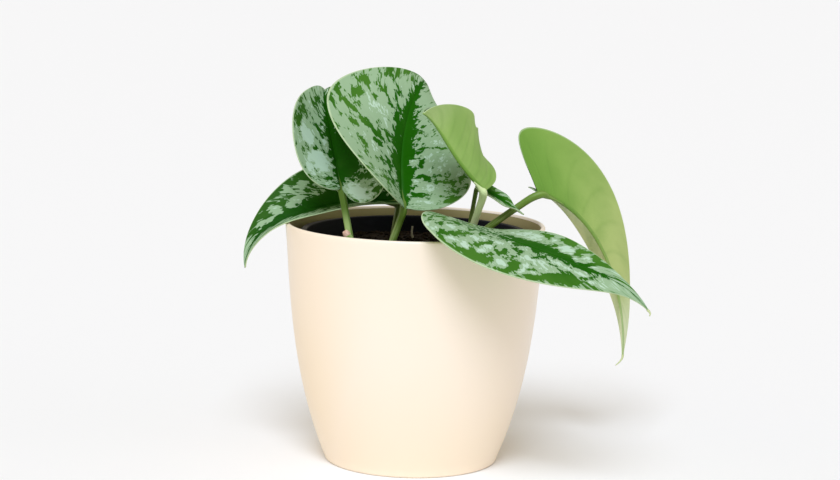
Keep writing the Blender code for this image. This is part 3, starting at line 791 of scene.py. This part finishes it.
def weld_blade(leaf, number, sheets, looks):
    """Joins the two halves, gives the sheet its thickness and relief, and closes it round the margin."""
    rows, columns = BLADE_ROWS + 1, len(BLADE_COLUMNS)
    points = np.concatenate([points.reshape(-1, 3) for points, _ in sheets])
    values = {key: np.concatenate([sheet[key].ravel() for _, sheet in sheets]) for key in sheets[0][1]}
    _, first, index = np.unique(np.round(points, 3), axis=0, return_index=True, return_inverse=True)
    index = index.reshape(2, rows, columns)
    points = points[first]
    values = {key: value[first] for key, value in values.items()}
    faces = []
    for half in (0, 1):
        grid = index[half]
        corners = np.stack([grid[:-1, :-1], grid[:-1, 1:], grid[1:, 1:], grid[1:, :-1]], axis=-1)
        corners = corners.reshape(-1, 4)
        faces.append(corners if half else corners[:, ::-1])
    faces = np.concatenate(faces)
    triangles = np.concatenate([faces[:, [0, 1, 2]], faces[:, [0, 2, 3]]])
    flat = (triangles == np.roll(triangles, 1, axis=1)).any(axis=1)
    triangles = triangles[~flat]
    corners = points[triangles]
    turned = np.cross(corners[:, 1] - corners[:, 0], corners[:, 2] - corners[:, 0])
    normals = np.zeros_like(points)
    for corner in range(3):
        np.add.at(normals, triangles[:, corner], turned)
    normals /= np.linalg.norm(normals, axis=1)[:, None] + 1e-12
    ends = np.concatenate([triangles[:, [0, 1]], triangles[:, [1, 2]], triangles[:, [2, 0]]])
    edges, counts = np.unique(np.sort(ends, axis=1), axis=0, return_counts=True)
    on_margin = np.zeros(len(points), bool)
    on_margin[edges[counts == 1].ravel()] = True
    middle = points + normals * values["offset"][:, None]
    over = middle + normals * np.where(on_margin, 0.0, values["over"])[:, None]
    under = middle - normals * np.where(on_margin, 0.0, values["under"])[:, None]
    inner = np.flatnonzero(~on_margin)
    below = np.arange(len(points))
    below[inner] = len(points) + np.arange(len(inner))
    all_points = np.concatenate([over, under[inner]])
    all_faces = np.concatenate([triangles, below[triangles][:, ::-1]])
    which = np.concatenate([np.zeros(len(triangles)), np.ones(len(triangles))])
    replaced = (f"leaf_{leaf.name}",)
    faces = all_faces.tolist()
    obj = add_mesh(f"blade_{leaf.name}", all_points, faces, looks, replaced, which)
    both = {key: np.concatenate([value, value[inner]]) for key, value in values.items()}
    seed = np.full(len(all_points), 10.0 * number)
    set_values(obj, "grain", np.stack([both["p"], both["q"], seed], axis=-1))
    set_values(obj, "place", np.stack([both["u"], both["v"], np.zeros(len(all_points))], axis=-1))
    ripeness_painted_shade_sheen = (leaf.ripeness, leaf.depth, leaf.sheen)
    set_values(obj, "ripeness_painted_shade_sheen", np.tile(ripeness_painted_shade_sheen, (len(all_points), 1)))
    set_values(obj, "silver", both["silver"])
    set_values(obj, "vein", both["vein"])


def through(points, per_span):
    """A smooth line through the points (Catmull-Rom)."""
    points = np.asarray(points, float)
    padded = np.concatenate([[2 * points[0] - points[1]], points, [2 * points[-1] - points[-2]]])
    t = np.linspace(0, 1, per_span, endpoint=False)[:, None]
    line = []
    for a, b, c, d in zip(padded, padded[1:], padded[2:], padded[3:]):
        square, cube = 2 * a - 5 * b + 4 * c - d, 3 * b - a - 3 * c + d
        line.append(0.5 * (2 * b + (c - a) * t + square * t**2 + cube * t**3))
    return np.concatenate([*line, points[-1:]])


def tube_rings(line, radii, up, shape):
    """Rings of points round a line. shape gives the radius factor at each angle, counted from up."""
    direction = np.gradient(line, axis=0)
    direction /= np.linalg.norm(direction, axis=1)[:, None]
    side = np.cross(direction[0], up)
    side /= np.linalg.norm(side)
    rings = []
    angles = np.linspace(0, 2 * math.pi, len(shape), endpoint=False)
    for point, along, radius in zip(line, direction, radii):
        side = side - along * (side @ along)
        side /= np.linalg.norm(side)
        over = np.cross(side, along)
        ring = np.cos(angles)[:, None] * over + np.sin(angles)[:, None] * side
        rings.append(point + ring * (shape * radius)[:, None])
    return np.array(rings)


def tube_faces(rings, around):
    """Quads between rings, with a point at each end. The two end points come last."""
    faces = []
    for i in range(rings - 1):
        for j in range(around):
            k = (j + 1) % around
            faces.append((i * around + j, (i + 1) * around + j, (i + 1) * around + k, i * around + k))
    first, last = rings * around, rings * around + 1
    for j in range(around):
        k = (j + 1) % around
        faces.append((first, j, k))
        faces.append((last, (rings - 1) * around + k, (rings - 1) * around + j))
    return faces


def add_tube(name, line, radii, up, looks, replaced=(), shape=None, seed=0.0, painted_shade_or_light=0.0):
    shape = np.ones(12) if shape is None else shape
    rings = tube_rings(line, radii, np.asarray(up, float), shape)
    around = len(shape)
    points = np.concatenate([rings.reshape(-1, 3), line[:1], line[-1:]])
    obj = add_mesh(name, points, tube_faces(len(rings), around), looks, replaced)
    distance = np.concatenate([[0], np.cumsum(np.linalg.norm(np.diff(line, axis=0), axis=1))])
    angle = np.arange(around) / around
    p = np.tile(angle * 2 * math.pi * np.mean(radii), len(rings))
    q = np.repeat(distance, around)
    grain = np.stack([p, q, np.full(len(p), seed)], axis=-1)
    grain = np.concatenate([grain, [[0, 0, seed], [0, distance[-1], seed]]])
    set_values(obj, "grain", grain)
    on_top = np.tile((1 + np.cos(angle * 2 * math.pi)) / 2, len(rings))
    place = np.stack([q / distance[-1], on_top, np.full(len(p), painted_shade_or_light)], axis=-1)
    set_values(obj, "place", np.concatenate([place, [[0, 0, painted_shade_or_light], [1, 0, painted_shade_or_light]]]))
    return obj


def stalk_line(leaf):
    """From inside the soil up to the blade's base, and on under its midrib."""
    foot = np.array([*leaf.foot, FOOT_HEIGHT], float)
    base = np.array(leaf.base, float)
    _, _, normal = turned_frame(leaf.aim)
    distance, points, _, upper = midrib(leaf)
    top = base - normal * 0.7 * leaf.stalk_radius
    middle = (foot + top) / 2 + np.array(leaf.bow, float)
    t = np.linspace(0.0, 0.93, 9)[:, None]
    stem = (1 - t) ** 2 * foot + 2 * (1 - t) * t * middle + t**2 * top
    under_rib = []
    for reach, depth in ((1.5, 1.2), (5.0, 0.9), (10.0, 0.55), (16.0, 0.3)):
        reach = reach * leaf.length / 100
        place = at_distance(reach, distance, points)
        under_rib.append(place - at_distance(reach, distance, upper) * (HALF_THICKNESS + depth))
    return through([*stem, *under_rib], 5)


def stalk(leaf, number, look):
    line = stalk_line(leaf)
    share = np.linspace(0, 1, len(line))
    knee = np.exp(-(((share - KNEE_PLACE) / KNEE_REACH) ** 2))
    taper = 1 - 0.75 * smooth_step(share, 0.74, 1.0)
    swell = 1 + FOOT_SWELL * smooth_step(1 - share, 0.6, 1.0) + KNEE_SWELL * knee
    angle = np.linspace(0, 2 * math.pi, STALK_SIDES, endpoint=False)
    turn = np.minimum(angle, 2 * math.pi - angle)
    channel = CHANNEL_DEPTH * np.exp(-((turn / 0.35) ** 2))
    shape = 1 - channel + CHANNEL_EDGE * np.exp(-(((turn - 0.75) / 0.25) ** 2))
    along, _, normal = turned_frame(leaf.aim)
    add_tube(
        f"stem_{leaf.name}", line, leaf.stalk_radius * swell * taper, along + normal, [look],
        (f"stalk_{leaf.name}",), shape, number * 10.0, leaf.stalk_painted_shade_or_light,
    )


def thread(name, points, radii, look, slot):
    line = through(points, 6)
    radii = np.linspace(*radii, len(line))
    add_tube(name, line, radii, (0, -1, 0), [look], shape=np.ones(THREAD_SIDES))


def drip_tip(leaf, look):
    """The thin thread that the tip of a blade runs out into."""
    tip = blade_point(leaf, 0, np.array([1.0]), np.array([0.0]))[0]
    points = tip + np.array(leaf.thread, float)
    thread(f"drip_tip_{leaf.name}", points, (0.75, 0.25), look, "silver_leaf")


def cut_stem(look, face_look):
    foot = np.array([*CUT_STEM_FOOT, FOOT_HEIGHT], float)
    top = np.array(CUT_STEM_TOP)
    t = np.linspace(0, 1, 14)[:, None]
    line = foot + (top - foot) * t
    line += np.array((0, 0, 1.0)) * 2.0 * np.sin(np.pi * t)
    radii = CUT_STEM_RADIUS * (1 + 0.1 * np.sin(6 * t[:, 0]))
    radii[-2:] *= (0.95, 0.6)
    looks = [look, face_look]
    shape = np.ones(CUT_STEM_SIDES)
    stump = add_tube(
        "stump_of_cut_leaf", line, radii, (0, 0, 1), looks, ("cut_stem",), shape, 90.0,
    )
    for polygon in stump.data.polygons:
        if min(polygon.vertices) >= (len(line) - 3) * CUT_STEM_SIDES:
            polygon.material_index = 1


def lathe(name, profile, steps, looks, replaced, second_from=None):
    """A closed profile of (radius, height), down its outer side first, turned about Z.

    Its rows from second_from on have the second look.
    """
    angles = np.linspace(0, 2 * math.pi, steps, endpoint=False)
    points, index = [], []
    for radius, height in profile:
        if radius < 1e-6:
            index.append([len(points)] * steps)
            points.append((0, 0, height))
            continue
        index.append(list(range(len(points), len(points) + steps)))
        points += [(radius * math.cos(a), radius * math.sin(a), height) for a in angles]
    faces, face_looks = [], []
    for i in range(len(profile)):
        upper, lower = index[i], index[(i + 1) % len(profile)]
        for j in range(steps):
            k = (j + 1) % steps
            corners = [upper[j], lower[j], lower[k], upper[k]]
            corners = [c for n, c in enumerate(corners) if c not in corners[:n]]
            if len(corners) > 2:
                faces.append(corners)
                face_looks.append(int(second_from is not None and i >= second_from))
    return add_mesh(name, points, faces, looks, replaced, face_looks)


def arc(centre, radius, start, end, steps):
    """(radius, height) points on an arc, its angles counted from +radius towards +height."""
    angles = [math.radians(start + (end - start) * i / steps) for i in range(steps + 1)]
    return [(centre[0] + radius * math.cos(a), centre[1] + radius * math.sin(a)) for a in angles]


def pot_side(height):
    """The cover pot's outer radius at a height."""
    curve = cubic(POT_SIDE, np.linspace(0.0, 1.0, 200))
    return float(np.interp(height, curve[:, 0], curve[:, 1]))


def cover_pot():
    lip = POT_WALL / 2
    top = POT_HEIGHT - lip
    low_outside = 4 * POT_FOOT_EDGE
    low_inside = POT_FLOOR + POT_COVE
    outer = [(pot_side(height), height) for height in np.linspace(top, low_outside, 49)[1:]]
    edge = arc((pot_side(POT_FOOT_EDGE) - POT_FOOT_EDGE, POT_FOOT_EDGE), POT_FOOT_EDGE, 0, -90, 8)
    inner = [(pot_side(height) - POT_WALL, height) for height in np.linspace(low_inside, top, 41)[:-1]]
    cove = arc((inner[0][0] - POT_COVE, low_inside), POT_COVE, -90, 0, 8)[:-1]
    rim = arc((pot_side(top) - lip, top), lip, 180, 0, 12)
    profile = rim + outer + edge + [(0.0, 0.0), (0.0, POT_FLOOR)] + cove + inner
    inside_from = len(rim) + len(outer) + len(edge) + 1
    looks = [glaze(), inside_glaze()]
    lathe("cover_pot", profile, POT_STEPS, looks, ("pot",), inside_from)


def nursery_radius(height):
    """The nursery pot's outer radius at a height."""
    share = (height - NURSERY_FLOOR) / (NURSERY_RIM_HEIGHT - NURSERY_FLOOR)
    return NURSERY_BASE_RADIUS + (NURSERY_TOP_RADIUS - NURSERY_BASE_RADIUS) * share


def nursery_pot():
    lip = NURSERY_WALL / 2
    edge = NURSERY_FOOT_EDGE
    rim_radius = NURSERY_TOP_RADIUS + NURSERY_RIM_LIP
    top = NURSERY_RIM_HEIGHT - lip
    under_rim = NURSERY_RIM_HEIGHT - NURSERY_RIM_DEPTH
    under_roll = NURSERY_RIM_HEIGHT - 2 * NURSERY_WALL
    floor = NURSERY_FLOOR + NURSERY_WALL
    profile = [
        *arc((NURSERY_TOP_RADIUS - NURSERY_WALL + lip, top), lip, 180, 90, 4),
        *arc((rim_radius - lip, top), lip, 90, 0, 4),
        (rim_radius, under_rim),
        (rim_radius - NURSERY_WALL, under_rim),
        (rim_radius - NURSERY_WALL, under_roll),
        (nursery_radius(under_roll - lip), under_roll - lip),
        (nursery_radius(NURSERY_FLOOR + edge), NURSERY_FLOOR + edge),
        (NURSERY_BASE_RADIUS - edge, NURSERY_FLOOR),
        (0.0, NURSERY_FLOOR),
        (0.0, floor),
        (NURSERY_BASE_RADIUS - edge - lip, floor),
        (nursery_radius(floor + edge) - NURSERY_WALL, floor + edge),
    ]
    looks = [black_plastic()]
    pot = lathe("nursery_pot_fine", profile, NURSERY_STEPS, looks, ("nursery_pot",))
    shape = bmesh.new()
    radius = DRAIN_HOLE_RADIUS * MM
    for i in range(DRAIN_HOLES):
        turn = Matrix.Rotation(math.tau * i / DRAIN_HOLES, 4, "Z")
        centre = Vector((DRAIN_RING_RADIUS, 0.0, NURSERY_FLOOR + lip)) * MM
        bmesh.ops.create_cone(
            shape, cap_ends=True, segments=32, radius1=radius, radius2=radius,
            depth=3 * NURSERY_WALL * MM, matrix=turn @ Matrix.Translation(centre),
        )
    mesh = bpy.data.meshes.new("drain_holes")
    shape.to_mesh(mesh)
    shape.free()
    holes = new_object("drain_holes", mesh)
    cut = pot.modifiers.new("drain", "BOOLEAN")
    cut.object = holes
    cut.operation = "DIFFERENCE"
    bpy.context.view_layer.update()
    graph = bpy.context.evaluated_depsgraph_get()
    pot.data = bpy.data.meshes.new_from_object(pot.evaluated_get(graph))
    pot.modifiers.clear()
    bpy.data.objects.remove(holes, do_unlink=True)
    pot.data.set_sharp_from_angle(angle=math.radians(40))


def soil_height(x, y):
    """The soil's height at a place, rough with lumps and crumbs."""
    mound = SOIL_HEIGHT + SOIL_MOUND * (1 - (x * x + y * y) / SOIL_RADIUS**2)
    rough = sum(share * noise.noise((x / size, y / size, place)) for size, place, share in SOIL_LUMPS)
    return mound + SOIL_ROUGHNESS * rough


def circle(radius, steps):
    """(x, y) points on a circle."""
    angles = [2 * math.pi * j / steps for j in range(steps)]
    return [(radius * math.cos(a), radius * math.sin(a)) for a in angles]


def soil(look):
    rings = np.linspace(0.0, 1.0, 66)[1:] * (SOIL_RADIUS - 0.2)
    points = [(x, y, soil_height(x, y)) for radius in rings for x, y in circle(radius, SOIL_STEPS)]
    floor = NURSERY_FLOOR + NURSERY_WALL + SOIL_CLEARANCE
    low = floor + NURSERY_FOOT_EDGE + NURSERY_WALL
    low_radius = nursery_radius(low) - NURSERY_WALL - SOIL_CLEARANCE
    for radius, height in ((low_radius, low), (NURSERY_BASE_RADIUS - 2 * NURSERY_FOOT_EDGE, floor)):
        points += [(x, y, height) for x, y in circle(radius, SOIL_STEPS)]
    points += [(0.0, 0.0, soil_height(0.0, 0.0)), (0.0, 0.0, floor)]
    add_mesh("soil_fine", points, tube_faces(len(rings) + 2, SOIL_STEPS), [look], ("soil",))


def crumbs(look):
    """Crumbs, chips and bits of bark that lie in the soil's surface."""
    draw = np.random.default_rng(SEED)
    ball = bmesh.new()
    bmesh.ops.create_icosphere(ball, subdivisions=1, radius=1.0)
    shape = np.array([vert.co for vert in ball.verts])
    triangles = np.array([[vert.index for vert in face.verts] for face in ball.faces])
    ball.free()
    points, faces = [], []
    for number in range(CRUMBS):
        radius = (SOIL_RADIUS - 2.5) * math.sqrt(draw.uniform())
        angle = draw.uniform(0, 2 * math.pi)
        x, y = radius * math.cos(angle), radius * math.sin(angle)
        size = draw.uniform(*CRUMB_SIZES) ** 1.5 * CRUMB_LARGEST
        stretch = draw.uniform(*CRUMB_STRETCH)
        knobs = shape * (1 + CRUMB_KNOBS * draw.standard_normal((len(shape), 1)))
        spin = Matrix.Rotation(draw.uniform(0, math.tau), 3, "Z")
        tilt = Matrix.Rotation(draw.uniform(-CRUMB_TILT, CRUMB_TILT), 3, "X")
        turn = np.array(spin @ tilt)
        points.append((knobs * stretch * size) @ turn.T + (x, y, soil_height(x, y) + 0.25 * size))
        faces.append(triangles + number * len(shape))
    points, faces = np.concatenate(points), np.concatenate(faces).tolist()
    add_mesh("soil_crumbs", points, faces, [look], smooth=False)


# Stage


def studio():
    half = FLOOR_SIZE / 2 * MM
    mesh = bpy.data.meshes.new("floor")
    corners = [(-half, -half, 0), (half, -half, 0), (half, half, 0), (-half, half, 0)]
    mesh.from_pydata(corners, [], [(0, 1, 2, 3)])
    made, tree = new_material("pale_floor")
    surface(tree, FLOOR_COLOUR, 0.9, 0.1)
    mesh.materials.append(made)
    floor = new_object("floor", mesh)

    world = bpy.data.worlds.new("soft_light")
    world.use_nodes = True
    background = world.node_tree.nodes["Background"]
    background.inputs["Color"].default_value = SKY_COLOUR
    background.inputs["Strength"].default_value = SKY_STRENGTH
    bpy.context.scene.world = world

    for name, energy, tint, spread, towards in LAMPS:
        sun = bpy.data.lights.new(name, "SUN")
        sun.energy = energy
        sun.color = tint
        sun.angle = math.radians(spread)
        lamp = new_object(name, sun)
        lamp.rotation_euler = Vector(towards).to_track_quat("-Z", "Y").to_euler()


def camera():
    yaw, pitch, roll = (math.radians(angle) for angle in (CAMERA_YAW, CAMERA_PITCH, CAMERA_ROLL))
    view = Vector((math.sin(yaw) * math.cos(pitch), math.cos(yaw) * math.cos(pitch), -math.sin(pitch)))
    right = Vector((math.cos(yaw), -math.sin(yaw), 0.0))
    up = right.cross(view)
    rolled_right = math.cos(roll) * right + math.sin(roll) * up
    rolled_up = math.cos(roll) * up - math.sin(roll) * right
    turn = Matrix((rolled_right, rolled_up, -view)).transposed().to_4x4()
    data = bpy.data.cameras.new("camera")
    data.lens = CAMERA_LENS
    data.sensor_width = CAMERA_SENSOR
    data.sensor_fit = "HORIZONTAL"
    data.clip_start = 0.05
    data.clip_end = 200.0
    obj = new_object("camera", data)
    obj.matrix_world = Matrix.Translation(Vector(CAMERA_PLACE) * MM) @ turn
    bpy.context.scene.camera = obj


def main():
    studio()
    camera()
    bpy.context.scene.view_settings.view_transform = "Standard"
    cover_pot()
    nursery_pot()
    mix = potting_mix()
    soil(mix)
    crumbs(mix)
    sides = [upper_side(), under_side()]
    skin = stalk_skin()
    for number, leaf in enumerate(LEAVES, 1):
        blade(leaf, number, sides)
        stalk(leaf, number, skin)
    cut_stem(skin, two_tones("cut_stem_face", 900.0, CUT_ROSE, CUT_PALE, 0.4, 0.2))
    tip_look = tip_thread()
    for leaf in LEAVES:
        if leaf.thread:
            drip_tip(leaf, tip_look)
    root_look = two_tones("root_and_fibre", 400.0, ROOT_TAN, ROOT_PALE, 0.3, 0.1)
    thread("loose_root", ROOT_LINE, (0.75, 0.45), root_look, "green_stalk")


main()
